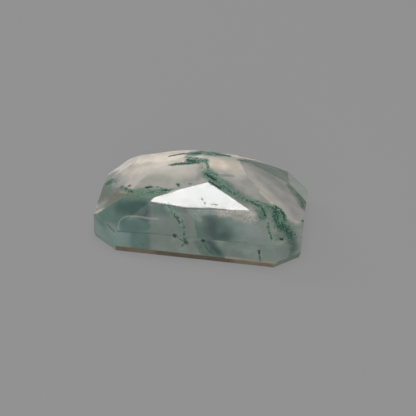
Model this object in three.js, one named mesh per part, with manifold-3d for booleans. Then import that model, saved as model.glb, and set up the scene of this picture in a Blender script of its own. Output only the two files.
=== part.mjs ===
// A rose cut moss agate: one stone with a flat base, a short upright wall and a low dome of flat
// facets that meet without a table. It is made as a cutter makes it: a blank of the right outline,
// then one straight cut for each facet.
//
// Millimetres. +X runs along the stone, the front is at -Y, +Z is up, and the base lies on z = 0
// with the origin at the middle of the outline.
import * as THREE from 'three';
import { mergeVertices } from 'three/addons/utils/BufferGeometryUtils.js';
import Module from 'manifold-3d';

const wasm = await Module();
wasm.setup();

// Driving dimensions, in millimetres.
const LENGTH = 12.0;
const WIDTH = 7.43;
const BLANK_HEIGHT = 5.0;

// The foot is the narrow bevel that takes the sharp edge off the base.
const FOOT_HEIGHT = 0.36;
const FOOT_TILT = 105;

// Each corner of the outline is cut off. A cut takes this much of the long side and of the end.
// The right end leans in by its taper from front to back.
const FRONT_LEFT = { side: 1.44, end: 1.17 };
const FRONT_RIGHT = { side: 1.41, end: 1.25 };
const BACK_RIGHT = { side: 1.4, end: 0.73 };
const BACK_LEFT = { side: 1.63, end: 1.28 };
const END_TAPER = 0.07;

// One line for each facet of the dome. It faces the given compass angle, counted in degrees from
// +X towards +Y, so 270 faces the front. It is tilted from level by the given degrees, and the
// origin lies that many millimetres behind it.
const FACETS = [
  // The steep facets over the front, the end corners and the back.
  { faces: 269.0, tilt: 50.6, reach: 3.875 },
  { faces: 269.7, tilt: 50.4, reach: 3.873 },
  { faces: 242.8, tilt: 37.5, reach: 4.479 },
  { faces: 305.7, tilt: 35.9, reach: 4.65 },
  { faces: 94.6, tilt: 53.7, reach: 3.866 },
  { faces: 89.2, tilt: 51.7, reach: 3.904 },
  { faces: 161.4, tilt: 39.3, reach: 4.832 },
  { faces: 25.8, tilt: 38.3, reach: 4.818 },
  // The two long facets that slope down to the ends.
  { faces: 173.3, tilt: 34.0, reach: 4.527 },
  { faces: 15.1, tilt: 30.2, reach: 4.399 },
  // The middle facets, front and back.
  { faces: 269.3, tilt: 46.4, reach: 3.9 },
  { faces: 89.8, tilt: 40.9, reach: 3.989 },
  // The flatter facets between the middle ones and the ends.
  { faces: 216.0, tilt: 18.1, reach: 4.034 },
  { faces: 317.5, tilt: 21.2, reach: 4.228 },
  { faces: 152.6, tilt: 23.9, reach: 4.123 },
  { faces: 31.4, tilt: 32.3, reach: 4.478 },
  // The four nearly level facets that meet at the crest.
  { faces: 214.4, tilt: 16.3, reach: 3.997 },
  { faces: 341.5, tilt: 9.7, reach: 4.076 },
  { faces: 147.1, tilt: 10.6, reach: 4.142 },
  { faces: 56.5, tilt: 9.7, reach: 4.144 },
];

// The block that a cut takes away has to be larger than the blank.
const WASTE = 30;
const UP = new THREE.Vector3(0, 0, 1);

// A closed geometry becomes a solid once its shared corners are merged.
function solidOf(geometry) {
  const bare = geometry.clone();
  bare.deleteAttribute('normal');
  bare.deleteAttribute('uv');
  const merged = mergeVertices(bare);
  return new wasm.Manifold(
    new wasm.Mesh({
      numProp: 3,
      vertProperties: Float32Array.from(merged.attributes.position.array),
      triVerts: Uint32Array.from(merged.index.array),
    }),
  );
}

// A finished solid goes back to a geometry with flat shading.
function geometryOf(solid) {
  const mesh = solid.getMesh();
  const geometry = new THREE.BufferGeometry();
  geometry.setAttribute('position', new THREE.BufferAttribute(mesh.vertProperties, 3));
  geometry.setIndex(new THREE.BufferAttribute(mesh.triVerts, 1));
  const flat = geometry.toNonIndexed();
  flat.computeVertexNormals();
  return flat;
}

// The eight corners of the outline, seen from above, counterclockwise from the front of the left end.
function outlineCorners() {
  const x = LENGTH / 2;
  const y = WIDTH / 2;
  return [
    [-x, -y + FRONT_LEFT.end],
    [-x + FRONT_LEFT.side, -y],
    [x - FRONT_RIGHT.side, -y],
    [x, -y + FRONT_RIGHT.end],
    [x - END_TAPER, y - BACK_RIGHT.end],
    [x - BACK_RIGHT.side, y],
    [-x + BACK_LEFT.side, y],
    [-x, y - BACK_LEFT.end],
  ].map(([along, across]) => new THREE.Vector2(along, across));
}

function blank(corners) {
  const shape = new THREE.Shape(corners);
  return new THREE.ExtrudeGeometry(shape, { depth: BLANK_HEIGHT, bevelEnabled: false });
}

// The direction that a facet faces, from its compass angle and its tilt from level.
function facing(faces, tilt) {
  const turn = THREE.MathUtils.degToRad(faces);
  const lean = THREE.MathUtils.degToRad(tilt);
  return new THREE.Vector3(
    Math.sin(lean) * Math.cos(turn),
    Math.sin(lean) * Math.sin(turn),
    Math.cos(lean),
  );
}

// Takes away all that lies beyond a facet: a block whose underside is the plane of the facet.
function cut(stone, { faces, tilt, reach }) {
  const outward = facing(faces, tilt);
  const waste = new THREE.BoxGeometry(WASTE, WASTE, WASTE);
  const centre = outward.clone().multiplyScalar(reach + WASTE / 2);
  waste.applyQuaternion(new THREE.Quaternion().setFromUnitVectors(UP, outward));
  waste.translate(centre.x, centre.y, centre.z);
  return stone.subtract(solidOf(waste));
}

// The foot bevel runs below every side of the outline and meets its wall at the foot's height.
function footCuts(corners) {
  return corners.map((corner, i) => {
    const next = corners[(i + 1) % corners.length];
    const along = next.clone().sub(corner).normalize();
    const faces = THREE.MathUtils.radToDeg(Math.atan2(-along.x, along.y));
    const onWall = new THREE.Vector3(corner.x, corner.y, FOOT_HEIGHT);
    return { faces, tilt: FOOT_TILT, reach: onWall.dot(facing(faces, FOOT_TILT)) };
  });
}

function cutStone() {
  const corners = outlineCorners();
  const cuts = [...footCuts(corners), ...FACETS];
  return geometryOf(cuts.reduce(cut, solidOf(blank(corners))));
}

const agate = new THREE.MeshStandardMaterial({
  name: 'moss agate',
  color: 0x8d9a92,
  roughness: 0.12,
  metalness: 0,
});

const stone = new THREE.Mesh(cutStone(), agate);
stone.name = 'cut_stone';

const part = new THREE.Group();
part.add(stone);

export default part;
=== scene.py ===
"""Dresses the cut stone: a rose cut moss agate, milky and half see-through, with moss in it.

Works in millimetres on numpy arrays and turns them to metres when a mesh is made.
"""

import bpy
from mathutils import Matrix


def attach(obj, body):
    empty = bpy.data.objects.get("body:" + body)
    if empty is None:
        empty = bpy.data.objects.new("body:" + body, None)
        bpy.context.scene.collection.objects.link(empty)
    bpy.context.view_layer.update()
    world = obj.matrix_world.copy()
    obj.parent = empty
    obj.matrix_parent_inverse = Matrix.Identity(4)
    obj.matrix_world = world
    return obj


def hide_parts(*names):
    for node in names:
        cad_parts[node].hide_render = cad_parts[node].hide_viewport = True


bl_info = {
    "name": "Rose cut moss agate",
    "version": (1, 0, 0),
    "blender": (4, 5, 0),
    "location": "3D View > Sidebar > Agate",
    "description": "Cuts, colours and lights a rose cut moss agate",
    "category": "Object",
}

import bpy
import numpy as np
from mathutils import Matrix

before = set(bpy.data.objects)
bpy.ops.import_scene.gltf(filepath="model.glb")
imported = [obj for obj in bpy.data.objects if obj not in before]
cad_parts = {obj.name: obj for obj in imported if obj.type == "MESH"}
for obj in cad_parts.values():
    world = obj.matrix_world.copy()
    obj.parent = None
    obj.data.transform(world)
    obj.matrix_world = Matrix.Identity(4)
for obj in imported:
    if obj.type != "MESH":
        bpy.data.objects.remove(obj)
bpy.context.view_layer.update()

NODE = "cut_stone"
MM = 0.001

# How the CAD node is read, in millimetres. A triangle is a sliver if twice its area is SLIVER or less.
# Normals are the same above a cosine, an outline turns a corner above a sine, and a crown facet's
# normal rises above CROWN. A point on the girdle goes to the crown, which has a lead over the wall.
FOOT_HEIGHT = 0.36
SAME_PLACE = 0.01
SLIVER = 0.04
SAME_WAY = 0.99999
CORNER = 0.1
CROWN = 0.3
CROWN_FIRST = 0.001

# The grid on the stone. The wall's rows are farther apart than the crown's. The first lies close under
# the girdle and the sole's last ring close to its middle, as shares of the way.
WALL_SPACING = 1.2
FIRST_ROW = 0.02
FOOT_ROWS = 5
SOLE_RINGS = 6
LAST_RING = 0.02

# The camera, fitted to the photograph. Angles in degrees, lengths in millimetres. PIXEL is the width of
# a pixel at the stone. Turned by HALF_TURN, the camera looks at the stone's back.
PHOTO_SIDE = 416
AZIMUTH = 5.73
ELEVATION = 36.6
ROLL = 2.7
DISTANCE = 100.0
AIM = (0.268, 0.337, 0.749)
SENSOR = 36.0
LENS = 147.38
PIXEL = DISTANCE * SENSOR / LENS / PHOTO_SIDE
HALF_TURN = 180

# Softboxes: the way to each, its distance, width and height, and its brightness. The key light stands
# where the front middle facet mirrors it into this camera, and the others where no facet does.
SOFTBOXES = {
    "key": ((-0.1037, -0.6288, 0.7706), 150, 60, 34, 7.2),
    "overhead": ((0, 0.05, 1), 200, 120, 120, 12),
    "front": ((0.05, -0.95, 0.28), 200, 140, 50, 12),
    "left": ((-0.75, 0.3, 0.55), 200, 80, 60, 15),
}
WORLD_LIGHT = 0.25

# The floor lies just under the stone, in millimetres. It is pale by its own glow.
FLOOR_GAP = 0.02
FLOOR_GLOW = 0.222
FLOOR_GRAIN = 1.01

# The noises of the finish: grains per millimetre, detail, roughness, and what becomes zero and one.
NOISES = {
    "cloud": (1.1, 4, 0.55, 0.3, 0.7),
    "grit": (10, 2, 0.7, 0.34, 0.66),
    "grain": (9, 4, 0.7, 0.36, 0.64),
    "tuft": (12, 3, 0.65, 0.36, 0.64),
}
# Its layers: how much noise is added to the field, and the values at which each starts and is full.
LAYERS = {
    "moss": (1.3, 0.7, 1.05),
    "core": (1, 0.95, 1.45),
    "dense": (0.9, 0.46, 0.78),
    "specks": (0.6, 0.4, 0.65),
    "pits": (0.4, 0.35, 0.6),
}
# The haze about the moss: where in the moss field it starts and is full, and how strong it gets.
HAZE = (0.1, 0.9)
HAZE_STRENGTH = 0.85
# What the body's colour is multiplied by, where a noise is darkest and where it is lightest.
CLOUD_TINTS = ((0.87, 0.88, 0.88), (1.11, 1.11, 1.11))
# The grit shows only where the polish is scuffed; its light grains are painted glints of the scratches.
GRIT_TINTS = ((0.72, 0.71, 0.68), (1.3, 1.3, 1.3))
REFRACTION = 1.54

# How far the washes and the moss wander, in millimetres, and in how many waves per millimetre. A wash
# no softer than CRISP pixels keeps its place.
WASH_DRIFT = (0.05, 0.45)
MOSS_DRIFT = (0.012, 1.1)
CRISP = 2
# Paths are cast onto the stone at steps of up to this many pixels.
CAST_STEP = 6
# The strength of moss that is only sprinkled.
SPRINKLE = 0.42
# The tilts, in degrees, by which a facet that no pixel names gets its colour: pale up to the first,
# the darker slate from the second and the wall's colour past the last. This paints light on the facets
# that face up and shade on the steep ones, along with their deeper look through more stone, and the
# wall's colour is lifted to paint light onto the walls.
PALE_UP_TO = 34.5
DEEP_FROM = 36.0
WALL_PAST = 80

# The colours of the body and of the washes in it, painted light and shade among them.
PALETTE = {
    "ivory": (0.88, 0.8, 0.72),
    "cream": (0.8, 0.71, 0.61),
    "oat": (0.71, 0.635, 0.56),
    "buff": (0.7, 0.6, 0.5),
    "sand": (0.64, 0.57, 0.505),
    "wheat": (0.54, 0.475, 0.405),
    "linen": (0.45, 0.42, 0.38),
    "pale": (0.33, 0.315, 0.29),
    "ash": (0.285, 0.275, 0.255),
    "clear": (0.25, 0.25, 0.245),
    "grey": (0.24, 0.255, 0.225),
    "stone": (0.15, 0.16, 0.125),
    "taupe": (0.16, 0.15, 0.12),
    "fog": (0.194, 0.226, 0.214),
    "mist": (0.16, 0.206, 0.189),
    "slate": (0.138, 0.173, 0.156),
    "shade": (0.056, 0.108, 0.089),
    "haze": (0.1, 0.165, 0.14),
    "teal": (0.05, 0.121, 0.106),
    "deep teal": (0.04, 0.09, 0.078),
    "ink": (0.004, 0.045, 0.035),
    "sage": (0.13, 0.175, 0.125),
    "fern": (0.1, 0.19, 0.14),
    "olive": (0.095, 0.115, 0.06),
    "moss shade": (0.07, 0.11, 0.065),
    "leaf": (0.27, 0.34, 0.27),
    # The wall colours are lifted above those of the steep front facets, to paint light onto the walls;
    # wall light is a lit copy of them.
    "wall": (0.308, 0.352, 0.315),
    "wall light": (0.35, 0.41, 0.375),
    "wall mist": (0.264, 0.322, 0.298),
    "wall teal": (0.15, 0.255, 0.225),
    "wall blue": (0.275, 0.39, 0.35),
    "wall green": (0.18, 0.25, 0.2),
    "wall dark": (0.045, 0.11, 0.1),
    "chalk": (0.37, 0.35, 0.32),
    "dark line": (0.03, 0.045, 0.035),
    "brown": (0.13, 0.09, 0.045),
    "umber": (0.24, 0.17, 0.09),
    "tan": (0.27, 0.215, 0.15),
    "rust": (0.11, 0.04, 0.022),
    "beige": (0.46, 0.39, 0.31),
}

# The facets that the camera sees, each named by a pixel on it, with the colour of its body. Besides the
# stone's own tones these colours paint light and shade: facets that face up are paler, the steep front
# ones darker, and the walls are lifted to paint light onto them.
FACETS = {
    "left strip": ((122, 166), "ivory"),
    "left crest": ((160, 158), "oat"),
    "left": ((120, 185), "linen"),
    "left middle": ((150, 188), "pale"),
    "middle left": ((180, 175), "pale"),
    "middle right": ((225, 170), "pale"),
    "crest left": ((198, 155), "linen"),
    "crest right": ((219, 156), "linen"),
    "right back": ((271, 169), "moss shade"),
    "right corner, back": ((298, 186), "leaf"),
    "right": ((275, 190), "pale"),
    "right middle": ((250, 194), "ash"),
    "white": ((200, 196), "clear"),
    "front left": ((175, 228), "slate"),
    "front right": ((240, 232), "mist"),
    "left corner": ((112, 212), "haze"),
    "right corner": ((268, 222), "grey"),
    "left corner wall": ((104, 229), "wall blue"),
    "left corner foot": ((104, 240), "wall blue"),
    "front wall": ((230, 250), "wall"),
    "front foot": ((200, 256.3), "brown"),
    "right corner wall": ((288, 248), "wall"),
    "right corner foot": ((286, 260), "wall green"),
    "right end wall": ((304.5, 218), "stone"),
}

# Soft washes of colour, in the order they are laid. Each has a colour, a strength, a half width and
# a softness in pixels of the photograph, and the path of pixels that it follows. These are painted light
# on the top facets, which face the overhead light.
PAINTED_TOP_LIGHT = {
    "top, wide": ("linen", 1, 16, 8, [(136, 168), (150, 166), (200, 163), (238, 166)]),
    "top": ("sand", 1, 14, 10, [(144, 169), (150, 167), (170, 161)]),
    "top, middle": ("sand", 1, 6, 6, [(170, 160), (198, 158)]),
    "top, bright": ("cream", 1, 8, 6, [(140, 161), (150, 159), (178, 158)]),
    "top, right": ("wheat", 1, 7, 5, [(210, 163), (238, 166)]),
    "top, right bright": ("buff", 0.85, 7, 5, [(211, 162), (220, 164)]),
}

# These keep to the facet under their first pixel.
FACET_WASHES = {
    "strip, end": ("sage", 0.9, 10, 6, [(109, 177), (107, 180)]),
    "left, upper end": ("pale", 0.9, 5, 4, [(113, 179), (119, 176)]),
    "left, lower": ("stone", 1, 12, 4, [(98, 190), (116, 204)]),
    "left, under the patch": ("sage", 0.8, 4, 3, [(111, 187), (119, 189)]),
    "left, edge of the patch": ("ash", 0.8, 6, 5, [(118, 180), (122, 184)]),
    "left, ridge": ("sand", 0.8, 6, 5, [(126, 171), (143, 169)]),
    "left, end": ("grey", 0.9, 4, 3, [(98, 209), (103, 203)]),
    "left, brown": ("taupe", 0.7, 4, 4, [(117, 190), (116, 198), (108, 205)]),
    "left middle, low": ("sage", 1, 5.5, 2.5, [(128, 194), (140, 193), (152, 193.5), (163, 193)]),
    "right back, pale": ("ash", 0.9, 6, 4, [(244, 163), (253, 165)]),
    "right, top": ("linen", 0.8, 4, 4, [(246, 166), (248, 173), (253, 179)]),
    "right, upper shade": ("grey", 0.9, 6, 5, [(262, 172), (272, 178), (281, 186)]),
    # Painted light, where the band of light on the right facet carries on lower down.
    "right, below the glow": ("linen", 0.7, 5, 4, [(284, 208), (289, 214)]),
    "right, deep shade": ("ink", 0.8, 8, 5, [(298, 194), (305, 206)]),
    # Painted light: a band where light comes out through the right facet.
    "right, glow": ("linen", 1, 9, 7, [(252, 181), (261, 189), (270, 197), (279, 205)]),
    "right middle, top": ("pale", 0.7, 7, 6, [(236, 180), (246, 186)]),
    "white, left": ("pale", 0.8, 14, 8, [(160, 200), (176, 200)]),
    "front shade": ("shade", 0.9, 5, 4, [(156, 209), (170, 211)]),
    "front, rose": ("taupe", 0.45, 4, 3, [(185, 211), (186, 228)]),
    "front, left of the cloud": ("shade", 0.9, 6, 5, [(197, 226), (196, 234)]),
    "front right, fog": ("fog", 0.9, 8, 7, [(252, 226), (258, 236)]),
    "front right, dark": ("haze", 0.7, 7, 6, [(226, 222), (232, 234)]),
    "cloud": ("shade", 1, 9, 5, [(205, 230), (216, 226), (226, 233)]),
    "cloud, core": ("ink", 0.95, 5, 5.5, [(208, 218), (213, 224), (211, 230), (216, 237), (225, 235)]),
    "corner wall, left edge": ("wall teal", 0.9, 5, 4, [(97, 218), (103, 223)]),
    "wall, left": ("wall blue", 1, 11, 7, [(121, 236), (124, 250)]),
    "wall, teal": ("wall teal", 1, 10.5, 3.5, [(140, 234), (140.5, 252)]),
    "wall, green": ("wall green", 0.9, 4.5, 3, [(199, 243), (203, 249), (206, 256)]),
    "wall, cloud": ("wall dark", 1, 5, 5.5, [(209, 243), (212, 249), (219, 253)]),
    "wall, behind the cloud": ("wall green", 0.8, 6, 5, [(228, 247), (234, 254)]),
    "wall, right": ("wall mist", 1, 7, 6, [(232, 250), (242, 252)]),
    "wall, far right": ("wall mist", 1, 5, 4, [(266, 247), (267, 256)]),
    # Painted light on the walls, in wall light, a lit copy of the wall colour.
    "wall, light": ("wall light", 0.8, 6, 5, [(250, 252), (256, 255)]),
    "corner wall, light": ("wall light", 1, 5, 4, [(279, 246), (280, 257)]),
    "corner wall, end": ("wall light", 1, 3, 2, [(300, 237), (299.5, 253)]),
    "corner wall, moss": ("wall teal", 1, 4, 3, [(292, 240), (293.5, 250), (290, 258)]),
    "foot, left": ("umber", 1, 6, 4, [(118, 249.5), (150, 252)]),
    "foot, right": ("tan", 1, 8, 6, [(244, 262), (272, 265)]),
}

# These run over every facet in their way.
WASHES = {
    "left teal": ("teal", 1, 6.6, 2.5, [(144.5, 225), (127, 225)]),
    "left teal, top": ("deep teal", 1, 7.5, 2.5, [(142, 209.5), (136, 208)]),
    "left teal, edge": ("ink", 0.55, 4.2, 1.6, [(146.5, 207), (146.5, 218), (141, 214.5)]),
    "left corner, dark": ("deep teal", 0.9, 7, 5, [(136, 208), (122, 207)]),
    "stem": ("fern", 0.55, 1.6, 1.4, [(221, 175.6), (227, 175.4), (233, 176)]),
    "vein shade": ("taupe", 0.5, 3, 3, [(203, 164), (199, 170), (199, 178)]),
    "vein haze, upper": ("fern", 0.9, 6.4, 3, [(208, 173), (214, 179), (222, 184), (227, 188)]),
    "vein haze": ("sage", 0.9, 4.5, 3, [(228, 190), (240, 197), (250, 202.5), (262, 206), (273, 209)]),
    # The band of painted light on the right facet, carried over the ridge.
    "right ridge": ("wheat", 0.7, 1.5, 1.4, [(261, 192), (265, 196), (273, 204), (282, 212), (291, 220)]),
    "right ridge, end": ("linen", 0.8, 2.2, 1.5, [(286, 214), (294, 220.5), (300, 224.5)]),
    "loop haze": ("sage", 0.9, 4, 3, [(262, 210), (262, 216), (256, 212)]),
    "mass haze": ("teal", 0.7, 5, 4, [(277, 212), (279, 222), (286, 230), (289, 236)]),
    "left patch": ("fern", 0.9, 4, 3, [(106, 184), (111, 181.5)]),
    "left haze": ("moss shade", 0.8, 5, 4, [(106, 187), (108, 193)]),
    "drop haze": ("sage", 0.8, 2.5, 2, [(122, 189.5), (128, 192), (134, 194)]),
    "left, corner": ("olive", 0.8, 3, 2.5, [(118, 196), (122, 196)]),
    "olive band": ("olive", 0.8, 2, 1.5, [(121, 194), (130, 195.5), (138, 196)]),
    "streak haze": ("fern", 0.8, 3, 2, [(188, 160), (198, 159.5), (206, 160)]),
    "rust, left": ("rust", 1, 1.5, 0.8, [(128.9, 185.6), (129.9, 186)]),
    "rust, edge": ("rust", 0.7, 0.8, 0.7, [(97, 208.6), (97, 209.4)]),
    "dash stain": ("olive", 0.35, 3, 2.5, [(278, 236.5), (284, 235)]),
    "edge drop stain": ("slate", 0.6, 2.5, 2, [(299, 226), (303, 224)]),
    "left outline": ("chalk", 0.5, 1.2, 1.2, [(95.5, 217), (96, 234)]),
    "girdle line": ("deep teal", 0.7, 0.8, 0.7, [(118, 231.3), (135, 232.3), (150, 233.2)]),
    "girdle line, faint": ("deep teal", 0.35, 0.8, 0.7, [
        (150, 233.2), (175, 235.5), (205, 238.5), (247, 243)]),
    "pale curve": ("chalk", 0.7, 0.55, 0.5, [
        (118, 229), (119, 222), (123, 217.7), (127, 216.2), (137, 216.2), (143, 217.3), (148, 218.3),
        (158, 218.8)]),
    "pale curve, shade": ("dark line", 0.6, 0.55, 0.5, [(141, 218.6), (148, 219.8)]),
    # Painted light: the bright wedge that refraction makes above the left front corner.
    "wedge": ("fog", 0.6, 1.6, 1.5, [(109, 223.5), (113, 226), (118, 230)]),
    "wedge, shade": ("deep teal", 0.8, 0.9, 0.8, [(107.3, 224.5), (114.4, 231.8)]),
    # These four paint the sheen of the key light, blurred by the scuffed polish, in pale washes.
    "scuffed edge, painted sheen": ("fog", 1, 4.5, 2, [(192, 210), (210, 210.5), (222, 211)]),
    "scuffed sheen, middle": ("chalk", 1, 4.6, 2.2, [(220, 212), (232, 212), (251, 214)]),
    "scuffed sheen, right": ("ash", 0.9, 3.2, 2, [(236, 217), (245, 219.5), (253, 219)]),
    "scuffed sheen, tongue": ("fog", 0.8, 2, 1.5, [(192, 210), (195, 216), (200, 220)]),
    "scuffed, teal": ("teal", 0.7, 1.2, 1, [(209, 215.5), (216, 216.5)]),
    # Painted shade: a thin dark line just under the white facet's lower edge, with softer shade below it.
    "white facet, shade line": ("dark line", 0.9, 0.7, 0.6, [
        (152, 202.7), (175, 206.3), (188, 208), (204, 207.6), (225, 209)]),
    "white facet, lower shade": ("shade", 0.6, 2.2, 1.8, [(156, 206), (172, 209), (186, 211)]),
    # Painted highlight: the bright surroundings reflected at a grazing angle in the thin back facets along
    # the top.
    "pale rim": ("sand", 1, 2, 1.2, [(228, 155), (240, 157), (255, 160), (270, 164.3), (284, 169)]),
    "back ridge": ("shade", 0.9, 1.3, 1.1, [(238, 160), (250, 162), (262, 164.8), (274, 169), (286, 173)]),
    "back ridge, brown": ("taupe", 0.8, 8, 5, [(280, 175), (284, 178)]),
    # Painted shade below the right ridge.
    "ridge shade band": ("shade", 0.9, 3.4, 2.4, [(290, 187), (296, 193), (301, 199.5), (304, 206)]),
    "ridge line": ("dark line", 0.9, 1.2, 0.9, [
        (288, 183), (294, 188.5), (300, 195), (303.8, 201), (303.6, 208)]),
    "ridge line, upper": ("shade", 0.8, 0.8, 0.7, [(287, 173), (287.6, 182)]),
    "foot, light": ("beige", 1, 1.3, 0.8, [(226, 257.4), (243, 259.2), (262, 261.5), (276, 263)]),
    "foot, right end": ("brown", 0.5, 0.9, 0.7, [(284, 261.8), (292, 259.3), (300, 256)]),
}

# Moss, each a half width in pixels of the photograph and its path of pixels. It is ragged at its edge.
MOSS = {
    "crest, thin": (1.9, [(169.5, 156.2), (176, 154.7), (184, 153.6), (190, 153)]),
    "crest, mass": (5, [(191, 153.4), (195, 153.4), (201, 152.8)]),
    "crest, top": (1.6, [(198, 151.8), (205, 151.8)]),
    "crest, right": (4.6, [(207, 153.6), (213, 153.8), (219, 154.4)]),
    "crest, right end": (2.6, [(219, 154.6), (229, 156)]),
    "streak": (2, [(170, 164.8), (178, 163.8), (185, 163.4), (191, 162.8), (199, 162.4)]),
    "streak, cluster": (3.6, [(189, 159.5), (191, 161), (195, 161), (200, 160.5), (205, 160.8)]),
    "streak, twig": (1.6, [(186, 157), (192, 157.6), (197, 158)]),
    "neck": (1.6, [(205, 160.5), (207, 164.5), (208, 168), (209.5, 171.5)]),
    "knot": (4.6, [(207, 174.5), (211, 176.5), (215, 180)]),
    "knot, right": (2.8, [(211, 172.5), (216, 174.8)]),
    "vein": (5, [(215, 181), (220, 184.5), (226, 188)]),
    "vein, middle": (3.2, [(226, 188.5), (231, 191.5), (237, 195)]),
    "vein, thin": (2.1, [(236, 195), (241, 197.5), (247, 200.5)]),
    "vein, end": (2.3, [(247, 200.5), (253, 203), (258, 205), (264, 206.5), (273, 207.5)]),
    "vein, twig": (1, [(253, 202), (259, 201.3), (264, 204), (270, 205.5)]),
    "loop": (3.2, [(261, 207), (263.5, 211), (264.5, 215.5)]),
    "loop, foot": (2.2, [(264, 218), (260.5, 219), (258.5, 217)]),
    "mass": (4.4, [(275.5, 209), (276, 214), (276.5, 220), (279, 224)]),
    "mass, arch": (2.3, [(278, 210), (281.5, 212), (284.3, 216), (284.6, 221)]),
    "mass, lower": (5.6, [(279, 224.5), (284, 227.5), (288, 231.5), (290, 236)]),
    "fade": (2.6, [(291.5, 238), (293, 244), (292.5, 250)]),
    "twig": (1.6, [(268, 223), (268.5, 229), (269.5, 234), (271.5, 239)]),
    "left patch": (4.6, [(106.5, 184), (110, 184), (109, 180.5), (113, 182)]),
    "left patch, tail": (1.3, [(112, 184), (116, 182), (119, 180.3)]),
    "left drops": (2.4, [(120.5, 187), (125.5, 189), (131.5, 191.5)]),
    "chain, arm": (1.6, [(139, 193), (143, 190.5), (146, 188)]),
    "chain": (1.8, [(146, 187.3), (149, 187), (151.5, 187)]),
    "chain, field": (1.8, [(141, 193.5), (147, 191), (153, 192.5), (160, 192)]),
    "chain, thread": (0.7, [(151, 187.2), (158, 187), (163, 188.6)]),
    "chain, end": (2.1, [(162, 190), (168.5, 190.4)]),
    "chain, last": (1.1, [(169, 190), (174, 188.7)]),
    "drop": (1.9, [(177.5, 184.3), (178.8, 185)]),
    "drops": (1.2, [(189.5, 184), (191, 184)]),
    "under the white facet": (3.3, [(168, 206.5), (171, 210.5), (173.5, 214.5)]),
    "front streak": (2.5, [(174, 214.5), (177.5, 218.5), (180, 223)]),
    "front streak, loop": (1.6, [
        (178, 216), (182.5, 220), (184, 226), (184.3, 232), (184.2, 238), (186, 242)]),
    "front knot": (1.9, [(185.5, 241.8), (186.8, 243.5)]),
    "front twigs": (0.7, [(176, 236), (180.5, 239), (185, 242)]),
    "front root": (0.7, [(185, 243), (181.5, 246.5)]),
    "curl": (0.9, [(203.5, 241), (205, 246), (208, 249.5), (212, 253.3), (215.5, 255.5)]),
    "short line": (0.9, [(259, 251), (259.3, 256), (260.5, 260.5)]),
    "dash": (0.8, [(271, 239.2), (277, 239.3), (281, 239.2)]),
    # This moss darkens the painted shade below the right ridge.
    "ridge shade band": (3, [(291, 188.5), (297, 195), (302, 202), (303, 208)]),
    "back ridge, mass": (6, [(270, 169), (277, 172)]),
    "back ridge, speckle": (1.2, [(276, 173), (281, 174.5), (284, 177)]),
}

# Places that are only sprinkled with moss, given in the same way, as are the lists that follow.
SPRINKLED = {
    "left": (4, [(107, 187), (110, 192)]),
    "left patch": (3.5, [(112, 183), (117, 184.5)]),
    "left drops": (3, [(120, 190), (128, 193), (136, 195)]),
    "chain": (5.5, [(141, 192), (152, 192), (163, 192)]),
    "chain, right": (2.5, [(170, 189.5), (178, 187.5)]),
    "neck": (4, [(203, 168), (205, 172)]),
    "vein, upper edge": (2, [(221, 178), (231, 186), (243, 194), (256, 200)]),
    "tan patch": (2.5, [(254, 208), (258, 213)]),
    "between": (4.5, [(269, 211), (270, 218)]),
    "mass, right": (3, [(288, 222), (293, 230)]),
    "twig": (2, [(269, 226), (272, 235), (279, 237)]),
    "back ridge": (3, [(272, 172), (283, 177)]),
    "front streak": (3, [(173, 212), (182, 222), (187, 236)]),
    "front": (4.5, [(196, 216), (200, 224)]),
    "wall": (3.5, [(199, 246), (204, 253)]),
    "dash": (3, [(274, 240), (282, 240)]),
    # Sprinkled moss that darkens the painted shade below the right ridge.
    "ridge shade band": (2.5, [(290, 186), (297, 193), (303, 200)]),
    "far left wall": (2, [(141, 244), (145, 245)]),
}

# Where the moss is dense.
DENSE = {
    "crest, edge": (1.3, [(214, 153.6), (221, 154.8), (228, 156)]),
    "crest": (3, [(192, 153.6), (199, 153)]),
    "crest, thin": (1.3, [(170, 156.3), (184, 153.8)]),
    "streak": (1.3, [(172, 164.6), (178, 163.8), (186, 163.3), (199, 162.6)]),
    "cluster": (2, [(188, 160), (194, 162)]),
    "knot": (2.4, [(207, 174.5), (211, 177), (215, 180)]),
    "vein edge": (1.6, [(209, 181), (214, 184.5), (220, 188.6)]),
    "vein, end": (0.9, [(246, 199.8), (253, 203), (259, 206)]),
    "loop": (1.2, [(262, 208), (264, 212), (265, 216)]),
    "mass": (2.9, [(274.5, 209), (276, 214), (276.5, 221)]),
    "mass, arch": (1.3, [(280, 211.2), (283.8, 215), (284.5, 219)]),
    "mass, lower": (4.2, [(281, 226), (287, 230), (290, 235)]),
    "left patch": (3, [(107, 183.5), (110, 183), (110, 181)]),
    "left drop, first": (1.3, [(121.3, 187.3), (122, 187.6)]),
    "left drop, second": (1.8, [(125, 188.6), (126, 189.4)]),
    "left drop, third": (1.3, [(128.3, 191.2), (129, 191.6)]),
    "left drop, fourth": (1.4, [(131.2, 191), (132, 191.6)]),
    "chain": (1.3, [(147, 187.3), (151, 187.2)]),
    "chain, end": (1.3, [(163, 190.2), (168, 190.5)]),
    "front streak": (1.5, [(174.5, 215), (177.5, 218.5), (180, 222.5)]),
    "front loop": (0.7, [(182, 219.5), (184, 226), (184.3, 236)]),
    "front knot": (1.3, [(185.5, 242), (186.8, 243.3)]),
    "back ridge": (3, [(270, 169), (277, 172)]),
    # Dense moss that darkens the painted shade below the right ridge.
    "ridge shade band": (1.5, [(297, 194.5), (302, 201.5), (303, 207)]),
}

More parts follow.
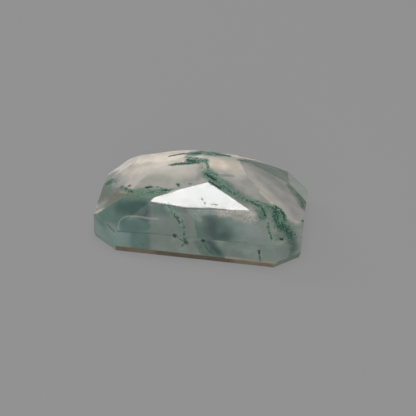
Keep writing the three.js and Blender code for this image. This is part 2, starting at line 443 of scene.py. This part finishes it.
# Dense dark specks, laid like the moss but hard at the edge.
SPECKS = {
    "left drop": (1.3, [(125.3, 188.3), (125.8, 188.8)]),
    "left drop, lower": (0.8, [(131.6, 191.2), (132.2, 191.6)]),
    "chain": (1.1, [(147, 187.3), (149.5, 187.3)]),
    "chain, end": (0.9, [(164, 190.4), (167.5, 190.4)]),
    "front dot": (1.8, [(174.3, 235.6), (174.9, 235.7)]),
    "front streak": (0.9, [(176, 217.5), (179, 222)]),
    "curl dot": (1.7, [(203, 240.1), (203.4, 240.7)]),
    "line head": (1.2, [(259, 250.8), (259, 253)]),
    "dash dot": (1.5, [(281, 239.1), (282.4, 239.3)]),
    "edge drop": (1.3, [(302.6, 221.3), (304, 224.6)]),
    "vein streak": (0.9, [(275.5, 206.6), (279, 208.3), (281.5, 209.4)]),
    "vein knots": (1.4, [(207.6, 175), (209.4, 176.6)]),
    "vein knots, middle": (1.3, [(211.5, 178), (214, 179.3)]),
    "vein edge": (1.1, [(209, 181.5), (214, 184.8), (219, 188)]),
    "vein dot": (0.9, [(246.8, 199.6), (247.3, 200)]),
    "vein dots": (0.7, [(253.5, 203.4), (258, 206.4)]),
    "drop": (1, [(178, 184.4), (178.5, 185)]),
    "streak dot": (0.8, [(183.5, 163.8), (184.5, 163.9)]),
    "crest dot": (0.7, [(183, 153.6), (184, 153.5)]),
    "crest edge": (0.8, [(216, 154.2), (224, 155.6)]),
}

# Where the polish is scuffed, below the front middle facet, which is the white one. The grit laid there
# paints glints of the scratches along with the scratches themselves.
SCUFFS_AND_SHEEN = {
    "left": (4.5, [(195, 211), (210, 211.5), (222, 212.5)]),
    "right": (5, [(222, 212), (238, 214), (250, 216.5)]),
    "lower right": (3, [(246, 220), (255, 221)]),
    "tongue": (2.5, [(194, 214), (199, 220)]),
}

# Pits and chips that break the polish of the front middle facet.
PITS = {
    "upper": (0.8, [(202, 198.8), (202.4, 199.6)]),
    "middle": (0.9, [(204.9, 203), (205.2, 203.5)]),
    "row": (0.45, [(211, 203.8), (213.6, 204), (217.5, 204.8)]),
    "chipped edge": (1, [(187, 208.8), (205, 208.9), (220, 209.6), (227, 210.2)]),
}

# The back can't be seen, so its washes and moss are a guess. Their pixels belong to the picture that
# the same camera takes from the other side of the stone.
BACK_WASHES = {
    "deep left": ("shade", 0.9, 13, 9, [(150, 222), (176, 226), (196, 222)]),
    "deep left, core": ("deep teal", 0.9, 6, 5, [(168, 226), (184, 228)]),
    "deep right": ("teal", 0.9, 10, 7, [(262, 222), (286, 216)]),
    "middle": ("fog", 0.8, 9, 8, [(214, 214), (240, 220)]),
    "vein haze": ("sage", 0.9, 6, 4, [(216, 162), (208, 174), (194, 184), (180, 192), (170, 204)]),
    "wall, left": ("wall teal", 0.9, 9, 6, [(140, 244), (165, 246)]),
    "wall, right": ("wall green", 0.9, 9, 6, [(240, 248), (262, 246)]),
}
BACK_MOSS = {
    "vein": (3.6, [(215, 160), (209, 171), (203, 178)]),
    "vein, middle": (4.8, [(203, 178), (194, 184), (182, 191)]),
    "vein, end": (3.2, [(182, 191), (173, 200), (170, 211), (174, 222)]),
    "branch": (2.2, [(196, 184), (206, 191), (220, 196), (236, 197)]),
    "branch, tip": (1.2, [(236, 197), (246, 201), (252, 209)]),
    "thread": (1, [(214, 194), (218, 206), (216, 218), (222, 230)]),
    "mass": (4.6, [(144, 190), (148, 198), (146, 206)]),
    "mass, arm": (2, [(150, 192), (160, 188), (170, 189)]),
    "right streak": (1.6, [(276, 196), (282, 206), (281, 218)]),
    "root": (0.9, [(174, 222), (168, 232), (170, 240)]),
}
BACK_DENSE = {
    "vein": (1.6, [(213, 164), (206, 175), (198, 181)]),
    "vein, end": (1.4, [(180, 192), (173, 200)]),
    "branch": (0.9, [(206, 191), (220, 196)]),
}


def camera_axes(turn=0):
    """The camera's back, right and up as unit vectors: turned by azimuth and elevation, then rolled.

    Turn, in degrees, is added to the azimuth.
    """
    a, e, r = np.radians([AZIMUTH + turn, ELEVATION, ROLL])
    back = np.array([np.sin(a) * np.cos(e), -np.cos(a) * np.cos(e), np.sin(e)])
    right = np.array([np.cos(a), np.sin(a), 0.0])
    up = np.cross(back, right)
    return back, right * np.cos(r) + up * np.sin(r), up * np.cos(r) - right * np.sin(r)


def camera_point(turn=0):
    """Where the camera stands: the aim, moved back by the distance."""
    return np.array(AIM) + DISTANCE * camera_axes(turn)[0]


def rays(pixels, turn):
    """Unit directions from the camera through pixels: ahead, plus their offsets over the focal length."""
    back, right, up = camera_axes(turn)
    focal = LENS / SENSOR * PHOTO_SIDE
    across, down = (np.asarray(pixels, float) - PHOTO_SIDE / 2).T / focal
    way = -back + across[:, None] * right - down[:, None] * up
    return way / np.linalg.norm(way, axis=1, keepdims=True)


def triangles_of(node):
    """A node's triangles as an array of corners, in millimetres."""
    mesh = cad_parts[node].data
    points = np.empty(len(mesh.vertices) * 3)
    mesh.vertices.foreach_get("co", points)
    corners = np.empty(len(mesh.loops), int)
    mesh.loops.foreach_get("vertex_index", corners)
    return (points.reshape(-1, 3) / MM)[corners].reshape(-1, 3, 3)


def planes_of(triangles):
    """The flat faces that the triangles lie in, as unit normals and reaches. Slivers are left out."""
    normals = np.cross(triangles[:, 1] - triangles[:, 0], triangles[:, 2] - triangles[:, 0])
    areas = np.linalg.norm(normals, axis=1)
    whole = areas > SLIVER
    triangles, areas = triangles[whole], areas[whole]
    normals = normals[whole] / areas[:, None]
    reach = np.einsum("ij,ij->i", normals, triangles[:, 0])
    kept = []
    for i in np.argsort(-areas):
        alike = normals[kept] @ normals[i] > SAME_WAY
        if not (alike & (abs(reach[kept] - reach[i]) < SAME_PLACE)).any():
            kept.append(i)
    return normals[kept], reach[kept]


def ordered(points):
    """Corners of a convex outline, each once, in turn by their angle about the middle of the stone."""
    points = points[np.argsort(np.arctan2(points[:, 1], points[:, 0]))]
    points = points[np.linalg.norm(points - np.roll(points, 1, axis=0), axis=1) > SAME_PLACE]
    way = np.roll(points, -1, axis=0) - points
    way /= np.linalg.norm(way, axis=1, keepdims=True)
    return points[np.cross(np.roll(way, 1, axis=0), way)[:, 2] > CORNER]


class Stone:
    """The planes and outlines of the cut stone, read from the CAD node, in millimetres.

    Pixels on it belong to the photograph, or to the picture from a camera turned from there.
    """

    def __init__(self, node, turn=0):
        self.turn = turn
        triangles = triangles_of(node)
        self.normals, self.reach = planes_of(triangles)
        self.crown = self.normals[:, 2] > CROWN
        corners = triangles.reshape(-1, 3)
        self.girdle = ordered(corners[abs(corners[:, 2] - FOOT_HEIGHT) < SAME_PLACE])
        self.sole = ordered(corners[corners[:, 2] < SAME_PLACE])

    def heights(self, plan):
        """The height of every crown facet's plane over plan points, and how each plane slopes."""
        normals, reach = self.normals[self.crown], self.reach[self.crown]
        slopes = -normals[:, :2] / normals[:, 2:]
        return reach / normals[:, 2] + plan @ slopes.T, slopes

    def top(self, plan):
        """Plan points lifted onto the crown: the lowest of the facets' planes."""
        return np.column_stack([plan, self.heights(plan)[0].min(axis=1)])

    def to_ridges(self, plan, along, across):
        """Plan points moved onto a ridge if it crosses one of the grid's lines within half a step of them.

        Along and across are the grid's steps at each point. Of the planes that pass so near, the one
        that parts most steeply from the lowest is taken. The point moves the way in which the two
        part, by the gap between them over the square of that slope.
        """
        heights, slopes = self.heights(plan)
        lowest = heights.argmin(axis=1)
        gaps = heights - heights.min(axis=1)[:, None]
        ways = slopes[None] - slopes[lowest][:, None]
        rises = [abs((ways * step[:, None]).sum(axis=2)) for step in (along, across)]
        steep = np.where(gaps < 0.5 * np.maximum(*rises), (ways**2).sum(axis=2), 0)
        rows, other = np.arange(len(plan)), steep.argmax(axis=1)
        steep = steep[rows, other]
        move = np.where(steep > 0, gaps[rows, other] / np.maximum(steep, 1e-9), 0)
        return plan - move[:, None] * ways[rows, other]

    def seen(self, pixels):
        """Where pixels meet the stone and on which plane: the farthest of those that the ray enters."""
        origin, ways = camera_point(self.turn), rays(pixels, self.turn)
        fall = ways @ self.normals.T
        reach = np.where(fall < 0, (self.reach - self.normals @ origin) / fall, -np.inf)
        return origin + reach.max(axis=1)[:, None] * ways, reach.argmax(axis=1)

    def unseen(self):
        """Which planes turn away from the camera: those that it is behind."""
        return self.normals @ camera_point(self.turn) < self.reach


def sampled(corners, counts):
    """Points along a path of straight stretches, each stretch cut into its own count of equal steps."""
    stretches = []
    for start, end, count in zip(corners[:-1], corners[1:], counts):
        share = np.arange(count)[:, None] / count
        stretches.append(start + share * (end - start))
    return np.concatenate([*stretches, corners[-1:]])


def four_sides(outline):
    """An eight-sided outline as four paths: each side, with half of the cut corner at either end."""
    middles = (outline[0::2] + outline[1::2]) / 2
    starts, ends = outline[1::2], np.roll(outline[0::2], -1, axis=0)
    return np.stack([middles, starts, ends, np.roll(middles, -1, axis=0)], axis=1)


def step_counts(sides, pitch):
    """How many steps each stretch of each side has: in proportion, and opposite sides the same in all."""
    lengths = np.linalg.norm(np.diff(sides, axis=1), axis=2)
    total = np.ceil(lengths.sum(axis=1) / pitch)
    total = np.maximum(total, np.roll(total, 2))
    counts = np.round(lengths / lengths.sum(axis=1, keepdims=True) * total[:, None]).astype(int)
    counts[:, 1] += total.astype(int) - counts.sum(axis=1)
    return counts


def closed(paths):
    """Paths that follow one another round the stone, as one that ends where it starts."""
    return np.concatenate([*(path[:-1] for path in paths), paths[0][:1]])


def grid_quads(rows, columns):
    """The quads of a grid of points stored row by row."""
    index = np.arange(rows * columns).reshape(rows, columns)
    corners = [index[:-1, :-1], index[:-1, 1:], index[1:, 1:], index[1:, :-1]]
    return np.stack(corners, axis=-1).reshape(-1, 4)


def crown_surface(stone, paths):
    """The crown as a height over a grid in plan, with grid points near a ridge moved onto it.

    In plan a point is blended from the four sides: the mix of front and back, plus the mix of left
    and right, less the mix of the four corners. Its height is the lowest of the facets' planes. Each
    quad is cut along the diagonal that stands higher, which is where a ridge runs.
    """
    front, right, back, left = (path[:, :2] for path in paths)
    back, left = back[::-1], left[::-1]
    u = np.linspace(0, 1, len(front))[None, :, None]
    v = np.linspace(0, 1, len(left))[:, None, None]
    plan = (1 - v) * front[None] + v * back[None] + (1 - u) * left[:, None] + u * right[:, None]
    plan = plan - (1 - v) * ((1 - u) * front[0] + u * front[-1]) - v * ((1 - u) * back[0] + u * back[-1])
    inner = plan[1:-1, 1:-1]
    along = (plan[1:-1, 2:] - plan[1:-1, :-2]) / 2
    across = (plan[2:, 1:-1] - plan[:-2, 1:-1]) / 2
    moved = stone.to_ridges(*[array.reshape(-1, 2) for array in (inner, along, across)])
    plan[1:-1, 1:-1] = moved.reshape(inner.shape)
    points = stone.top(plan.reshape(-1, 2))
    quads = grid_quads(len(left), len(front))
    z = points[:, 2][quads]
    rise = (z[:, 0] + z[:, 2] >= z[:, 1] + z[:, 3])[:, None, None]
    one = quads[:, [[0, 1, 2], [0, 2, 3]]]
    other = quads[:, [[0, 1, 3], [1, 2, 3]]]
    return points, np.where(rise, one, other).reshape(-1, 3)


def wall_surface(stone, rim, sole, pitch):
    """The wall and the foot as a grid: round the stone, and down from the girdle to the sole."""
    top = stone.top(rim[:, :2])
    bottom = np.column_stack([rim[:, :2], np.full(len(rim), FOOT_HEIGHT)])
    rows = int(np.ceil((top[:, 2].max() - FOOT_HEIGHT) / pitch))
    down = np.sort(np.append(np.linspace(0, 1, rows + 1), FIRST_ROW))[:, None, None]
    wall = top + down * (bottom - top)
    foot = bottom + np.linspace(0, 1, FOOT_ROWS + 1)[1:, None, None] * (sole - bottom)
    points = np.concatenate([wall, foot])
    return points.reshape(-1, 3), grid_quads(*points.shape[:2])[:, ::-1]


def sole_surface(sole):
    """The flat sole: rings of middle + t * (outline - middle) as t falls from one, then a fan."""
    middle = sole[:-1].mean(axis=0)
    t = np.linspace(1, LAST_RING, SOLE_RINGS)[:, None, None]
    points = middle + t * (sole - middle)
    quads = grid_quads(*points.shape[:2])[:, ::-1]
    last = (SOLE_RINGS - 1) * len(sole) + np.arange(len(sole) - 1)
    fan = np.column_stack([last + 1, last, np.full(len(last), SOLE_RINGS * len(sole))])
    return np.vstack([points.reshape(-1, 3), middle]), quads, fan


def joined(surfaces):
    """Surfaces as one: points that coincide are merged, and each surface's faces are renumbered."""
    starts = np.cumsum([0] + [len(points) for points, *_ in surfaces])
    points = np.concatenate([points for points, *_ in surfaces])
    first, same = np.unique(np.round(points, 5), axis=0, return_index=True, return_inverse=True)[1:]
    same = same.ravel()
    faces = [same[array + start] for (_, *arrays), start in zip(surfaces, starts) for array in arrays]
    return points[first], faces


def stone_surface(stone, pitch):
    """The whole closed surface, from girdle and sole outlines that are stepped alike."""
    sides = four_sides(stone.girdle)
    counts = step_counts(sides, pitch)
    paths = [sampled(side, steps) for side, steps in zip(sides, counts)]
    sole = closed([sampled(side, steps) for side, steps in zip(four_sides(stone.sole), counts)])
    wall = wall_surface(stone, closed(paths), sole, pitch * WALL_SPACING)
    return joined([crown_surface(stone, paths), wall, sole_surface(sole)])


def make_mesh(name, points, face_arrays):
    """A flat-shaded object from points in millimetres and arrays of faces, each of one size of face."""
    mesh = bpy.data.meshes.new(name)
    faces = [face for array in face_arrays for face in array.tolist()]
    mesh.from_pydata((points * MM).tolist(), [], faces, shade_flat=True)
    if mesh.validate():
        raise RuntimeError(f"{name} has faces that are not sound")
    piece = bpy.data.objects.new(name, mesh)
    bpy.context.scene.collection.objects.link(piece)
    return piece


def drifted(points, size, per_mm):
    """Points that wander smoothly: each axis is moved by a slow sine of turned coordinates, and by a
    lower and faster one whose phase swings with the first.
    """
    slow = np.array([[1.0, 0.5, -0.4], [-0.6, 1.1, 0.5], [0.3, -0.8, 1.2]])
    fast = np.array([[-0.9, 1.7, 0.6], [1.5, 0.4, -1.6], [0.8, 1.3, 1.1]])
    first = points @ slow * per_mm * 2 * np.pi
    second = points @ fast * per_mm * 2 * np.pi
    return points + size * (np.sin(first + 1.3) + 0.6 * np.sin(second + first[:, ::-1] + 4.1))


def stroke(stone, points, pixels, half, soft):
    """One within half less soft of a path of pixels cast onto the stone, zero past half plus soft.

    Between them it is 3 s^2 - 2 s^3, where s goes evenly from zero to one. Widths are in pixels.
    """
    pixels = np.asarray(pixels, float)
    counts = np.ceil(np.linalg.norm(np.diff(pixels, axis=0), axis=1) / CAST_STEP).astype(int)
    path = stone.seen(sampled(pixels, np.maximum(counts, 1)))[0]
    reach = (half + soft) * PIXEL
    inside = (points > path.min(axis=0) - reach) & (points < path.max(axis=0) + reach)
    near = np.flatnonzero(inside.all(axis=1))
    close = points[near]
    least = np.full(len(near), np.inf)
    for start, end in zip(path[:-1], path[1:]):
        way = end - start
        share = np.clip((close - start) @ way / (way @ way), 0, 1)
        least = np.minimum(least, np.linalg.norm(close - start - share[:, None] * way, axis=1))
    s = np.clip((reach - least) / (2 * soft * PIXEL), 0, 1)
    mask = np.zeros(len(points))
    mask[near] = s * s * (3 - 2 * s)
    return mask


def marks(stone, points, features):
    """The strongest of the features at each point: half strength at a feature's half width."""
    field = np.zeros(len(points))
    for half, pixels in features.values():
        field = np.maximum(field, stroke(stone, points, pixels, half, half))
    return field


def laid(stone, points, colour, washes, within=None):
    """Washes laid in turn: colour + mask * (wash - colour).

    Where each point's facet is given as within, a wash keeps to the facet under its first pixel.
    """
    wandering = drifted(points, *WASH_DRIFT)
    for name, strength, half, soft, pixels in washes.values():
        mask = strength * stroke(stone, wandering if soft > CRISP else points, pixels, half, soft)
        if within is not None:
            mask = mask * (within == stone.seen(pixels[:1])[1])
        colour = colour + mask[:, None] * (np.array(PALETTE[name]) - colour)
    return colour


def body_colour_and_light(stone, back, points, face):
    """The body's colour at each point: that of the facet it lies on, which paints light on facets that
    face up and shade on steep ones, then painted light on the top facets, then the washes of its side.
    """
    tilt = np.degrees(np.arccos(np.clip(stone.normals[:, 2], -1, 1)))
    steep = np.clip((tilt - PALE_UP_TO) / (DEEP_FROM - PALE_UP_TO), 0, 1)[:, None]
    pale, deep = np.array(PALETTE["pale"]), np.array(PALETTE["slate"])
    facet_colours = pale + steep * (deep - pale)
    facet_colours[tilt > WALL_PAST] = PALETTE["wall mist"]
    for pixel, name in FACETS.values():
        facet_colours[stone.seen([pixel])[1]] = PALETTE[name]
    # Painted light on the top facets first, then the washes.
    colour = laid(stone, points, facet_colours[face], PAINTED_TOP_LIGHT)
    colour = laid(stone, points, colour, FACET_WASHES, face)
    colour = laid(stone, points, colour, WASHES)
    return np.where(stone.unseen()[face, None], laid(back, points, colour, BACK_WASHES), colour)


def finish_fields(stone, back, points, face):
    """The fields that the finish reads: the strongest of their marks, the back's only on facets unseen."""
    wandering = drifted(points, *MOSS_DRIFT)
    unseen = stone.unseen()[face]
    moss = np.maximum(marks(stone, wandering, MOSS), SPRINKLE * marks(stone, wandering, SPRINKLED))
    dense = marks(stone, wandering, DENSE)
    return {
        "moss": np.maximum(moss, unseen * marks(back, wandering, BACK_MOSS)),
        "dense": np.maximum(dense, unseen * marks(back, wandering, BACK_DENSE)),
        "specks": marks(stone, points, SPECKS),
        # Where the polish is scuffed, and so where the grit paints its glints.
        "scuffs_and_sheen": marks(stone, wandering, SCUFFS_AND_SHEEN),
        "pits": marks(stone, points, PITS),
    }


def set_number(piece, name, values):
    """Gives each point of a piece a number for the material to read."""
    layer = piece.data.attributes.new(name, "FLOAT", "POINT")
    layer.data.foreach_set("value", np.asarray(values, np.float32))


def set_colour(piece, name, colours):
    """Gives each point of a piece a colour for the material to read."""
    layer = piece.data.attributes.new(name, "FLOAT_COLOR", "POINT")
    opaque = np.column_stack([colours, np.ones(len(colours))])
    layer.data.foreach_set("color", opaque.astype(np.float32).ravel())


class AgateSizes(bpy.types.PropertyGroup):
    pitch: bpy.props.FloatProperty(
        name="Grid pitch", description="Spacing of the points on the stone", default=0.046 * MM,
        min=0.03 * MM, subtype="DISTANCE", unit="LENGTH")
    floor_side: bpy.props.FloatProperty(
        name="Floor side", description="Side of the square floor", default=1.2,
        subtype="DISTANCE", unit="LENGTH")


class AgateColours(bpy.types.PropertyGroup):
    moss_dark: bpy.props.FloatVectorProperty(
        name="Dark moss", description="Densest moss", default=(0.012, 0.072, 0.045), subtype="COLOR")
    moss_middle: bpy.props.FloatVectorProperty(
        name="Middle moss", description="Grains of moss", default=(0.060, 0.138, 0.100), subtype="COLOR")
    moss_light: bpy.props.FloatVectorProperty(
        name="Light moss", description="Haze of thin moss", default=(0.155, 0.240, 0.188), subtype="COLOR")
    speck: bpy.props.FloatVectorProperty(
        name="Speck", description="Dense dark specks", default=(0.004, 0.028, 0.015), subtype="COLOR")
    floor: bpy.props.FloatVectorProperty(
        name="Floor", description="Plain grey floor", default=(0.03, 0.03, 0.03), subtype="COLOR")


class Tree:
    """A material's node tree, with short calls to add nodes and join them."""

    def __init__(self, name):
        self.material = bpy.data.materials.new(name)
        self.material.use_nodes = True
        self.nodes = self.material.node_tree.nodes
        self.links = self.material.node_tree.links
        self.nodes.clear()

    def put(self, socket, value):
        """Joins a socket to another, or sets its value."""
        if isinstance(value, bpy.types.NodeSocket):
            self.links.new(value, socket)
        else:
            socket.default_value = value

    def add(self, kind, inputs, **settings):
        """A new node with its inputs joined or set, and its settings."""
        node = self.nodes.new(kind)
        for name, value in settings.items():
            setattr(node, name, value)
        for name, value in inputs.items():
            self.put(node.inputs[name], value)
        return node

    def maths(self, operation, a, b):
        """One sum with numbers or sockets."""
        return self.add("ShaderNodeMath", {0: a, 1: b}, operation=operation).outputs[0]

    def step(self, value, low, high):
        """Zero below low, one above high, smooth between."""
        inputs = {"Value": value, "From Min": low, "From Max": high}
        return self.add("ShaderNodeMapRange", inputs, interpolation_type="SMOOTHSTEP").outputs["Result"]

    def mix(self, factor, a, b, blend="MIX"):
        """Colour a at factor zero, colour b blended over it at one."""
        inputs = {0: factor, 6: a, 7: b}
        return self.add("ShaderNodeMix", inputs, data_type="RGBA", blend_type=blend).outputs[2]

    def field(self, name, output="Fac"):
        """What the mesh holds under a name at each of its points."""
        return self.add("ShaderNodeAttribute", {}, attribute_name=name).outputs[output]

    def place(self):
        return self.add("ShaderNodeTexCoord", {}).outputs["Object"]

    def noise(self, place, per_mm, detail=3.0, roughness=0.55):
        inputs = {"Vector": place, "Scale": per_mm / MM, "Detail": detail, "Roughness": roughness}
        return self.add("ShaderNodeTexNoise", inputs).outputs["Fac"]

    def grains(self, place, per_mm, detail, roughness, low, high):
        """A noise whose values from low to high are drawn out to zero and one."""
        return self.step(self.noise(place, per_mm, detail, roughness), low, high)

    def layer(self, field, noise, amount, low, high):
        """Where a layer shows: the step of field + amount * (noise - 1/2), which makes its edge ragged."""
        added = self.maths("MULTIPLY", self.maths("SUBTRACT", noise, 0.5), amount)
        return self.step(self.maths("ADD", field, added), low, high)

    def tinted(self, colour, share, tints):
        """A colour times the mix of a dark and a light tint."""
        dark, light = tints
        return self.mix(1.0, colour, self.mix(share, rgba(dark), rgba(light)), "MULTIPLY")

    def output(self, **shaders):
        """The material, made of these shaders."""
        self.add("ShaderNodeOutputMaterial", shaders)
        return self.material


def rgba(colour):
    return (*colour, 1.0)


def agate_material(colours):
    """Milky body with soft washes of colour, painted light and shade among them, and over it moss that is
    ragged at its edge.
    """
    tree = Tree("moss_agate")
    place = tree.place()
    cloud, grit, grain, tuft = (tree.grains(place, *NOISES[name]) for name in NOISES)
    # The body colour holds painted light and shade besides the stone's own tones.
    body = tree.tinted(tree.field("body", "Color"), cloud, CLOUD_TINTS)
    # Where the polish is scuffed, the grit lays real scratches and painted glints over the body.
    body = tree.mix(tree.field("scuffs_and_sheen"), body, tree.tinted(body, grit, GRIT_TINTS))
    moss = tree.field("moss")
    haze = tree.maths("MULTIPLY", tree.step(moss, *HAZE), HAZE_STRENGTH)
    colour = tree.mix(haze, body, rgba(colours.moss_light))
    dense = tree.layer(tree.field("dense"), tuft, *LAYERS["dense"])
    core = tree.maths("MAXIMUM", tree.layer(moss, tuft, *LAYERS["core"]), dense)
    mask = tree.maths("MAXIMUM", tree.layer(moss, grain, *LAYERS["moss"]), dense)
    colour = tree.mix(mask, colour, tree.mix(core, rgba(colours.moss_middle), rgba(colours.moss_dark)))
    speck = tree.layer(tree.field("specks"), tuft, *LAYERS["specks"])
    colour = tree.mix(speck, colour, rgba(colours.speck))
    pit = tree.layer(tree.field("pits"), tuft, *LAYERS["pits"])
    surface = tree.add("ShaderNodeBsdfPrincipled", {
        "Base Color": colour,
        "Roughness": tree.maths("ADD", 0.15, tree.maths("MULTIPLY", pit, 0.6)),
        "IOR": REFRACTION,
        "Transmission Weight": 0.5,
        "Subsurface Weight": 1.0,
        "Subsurface Radius": (1.0, 1.0, 1.0),
        "Subsurface Scale": 0.6 * MM,
        "Coat Weight": tree.maths("SUBTRACT", 1.0, pit),
        "Coat Roughness": 0.02,
        "Coat IOR": REFRACTION,
    })
    volume = tree.add("ShaderNodeVolumeAbsorption", {"Color": (0.62, 0.80, 0.74, 1.0), "Density": 150.0})
    return tree.output(Surface=surface.outputs[0], Volume=volume.outputs[0])


def floor_material(colours):
    """Plain grey floor that glows softly, so that hardly a shadow falls on it."""
    tree = Tree("plain_floor")
    grain = tree.noise(tree.place(), 0.2)
    lighter = [value * FLOOR_GRAIN for value in colours.floor]
    surface = tree.add("ShaderNodeBsdfPrincipled", {
        "Base Color": tree.mix(grain, rgba(colours.floor), rgba(lighter)),
        "Roughness": 0.9,
        "Specular IOR Level": 0.0,
        "Emission Color": (1.0, 1.0, 1.0, 1.0),
        "Emission Strength": FLOOR_GLOW,
    })
    return tree.output(Surface=surface.outputs[0])


def pose(right, up, back, point):
    """A matrix that turns the axes to these and puts the object at a point given in millimetres."""
    matrix = np.eye(4)
    matrix[:3, :3] = np.stack([right, up, back], axis=1)
    matrix[:3, 3] = np.asarray(point) * MM
    return Matrix(matrix.tolist())


def add_softbox(name, way, distance, width, height, brightness):
    """A rectangular light that faces the stone from one direction. Lengths are in millimetres."""
    light = bpy.data.lights.new(name, "AREA")
    light.shape = "RECTANGLE"
    light.size, light.size_y = width * MM, height * MM
    light.energy = brightness * np.pi * width * height * MM**2
    lamp = bpy.data.objects.new(name, light)
    way = np.array(way) / np.linalg.norm(way)
    side = np.cross([0, 1.0, 0], way)
    side /= np.linalg.norm(side)
    lamp.matrix_world = pose(side, np.cross(way, side), way, way * distance)
    bpy.context.scene.collection.objects.link(lamp)


def add_camera():
    """The camera of the photograph, as the scene's own."""
    camera = bpy.data.cameras.new("camera")
    camera.lens, camera.sensor_width = LENS, SENSOR
    camera.clip_start, camera.clip_end = 0.001, 10
    holder = bpy.data.objects.new("camera", camera)
    back, right, up = camera_axes()
    holder.matrix_world = pose(right, up, back, camera_point())
    bpy.context.scene.collection.objects.link(holder)
    bpy.context.scene.camera = holder


class AGATE_OT_stone(bpy.types.Operator):
    """Makes the polished stone, with the fields that its finish reads"""

    bl_idname = "agate.stone"
    bl_label = "Polished stone"

    def execute(self, context):
        stone, back = Stone(NODE), Stone(NODE, HALF_TURN)
        points, faces = stone_surface(stone, context.scene.agate_sizes.pitch / MM)
        lead = CROWN_FIRST * stone.crown
        face = (points @ stone.normals.T - stone.reach + lead).argmax(axis=1)
        piece = make_mesh("polished_stone", points, faces)
        set_colour(piece, "body", body_colour_and_light(stone, back, points, face))
        for name, field in finish_fields(stone, back, points, face).items():
            set_number(piece, name, field)
        piece.data.materials.append(agate_material(context.scene.agate_colours))
        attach(piece, "root")
        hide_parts(NODE)
        return {"FINISHED"}


class AGATE_OT_stage(bpy.types.Operator):
    """Makes the floor, the lights and the camera"""

    bl_idname = "agate.stage"
    bl_label = "Floor, lights and camera"

    def execute(self, context):
        scene = context.scene
        half = scene.agate_sizes.floor_side / MM / 2
        plan = np.array([(-1, -1), (1, -1), (1, 1), (-1, 1)]) * half
        corners = np.column_stack([plan, np.full(4, -FLOOR_GAP)])
        floor = make_mesh("floor", corners, [np.array([[0, 1, 2, 3]])])
        floor.data.materials.append(floor_material(scene.agate_colours))
        world = bpy.data.worlds.new("soft_studio")
        world.use_nodes = True
        background = world.node_tree.nodes["Background"]
        background.inputs["Color"].default_value = (1.0, 1.0, 1.0, 1.0)
        background.inputs["Strength"].default_value = WORLD_LIGHT
        scene.world = world
        for name, values in SOFTBOXES.items():
            add_softbox(name, *values)
        add_camera()
        scene.view_settings.view_transform = "Standard"
        return {"FINISHED"}


class AGATE_PT_panel(bpy.types.Panel):
    """Lists the sizes, the colours and the operators"""

    bl_idname = "AGATE_PT_panel"
    bl_label = "Moss agate"
    bl_space_type = "VIEW_3D"
    bl_region_type = "UI"
    bl_category = "Agate"

    def draw(self, context):
        for group in (context.scene.agate_sizes, context.scene.agate_colours):
            for name in group.__annotations__:
                self.layout.prop(group, name)
        for operator in OPERATORS:
            self.layout.operator(operator.bl_idname)


OPERATORS = (AGATE_OT_stage, AGATE_OT_stone)
CLASSES = (AgateSizes, AgateColours, *OPERATORS, AGATE_PT_panel)


def register():
    for cls in CLASSES:
        bpy.utils.register_class(cls)
    bpy.types.Scene.agate_sizes = bpy.props.PointerProperty(type=AgateSizes)
    bpy.types.Scene.agate_colours = bpy.props.PointerProperty(type=AgateColours)


def unregister():
    del bpy.types.Scene.agate_colours
    del bpy.types.Scene.agate_sizes
    for cls in reversed(CLASSES):
        bpy.utils.unregister_class(cls)


def main():
    register()
    bpy.ops.agate.stage()
    bpy.ops.agate.stone()


if __name__ == "__main__":
    main()
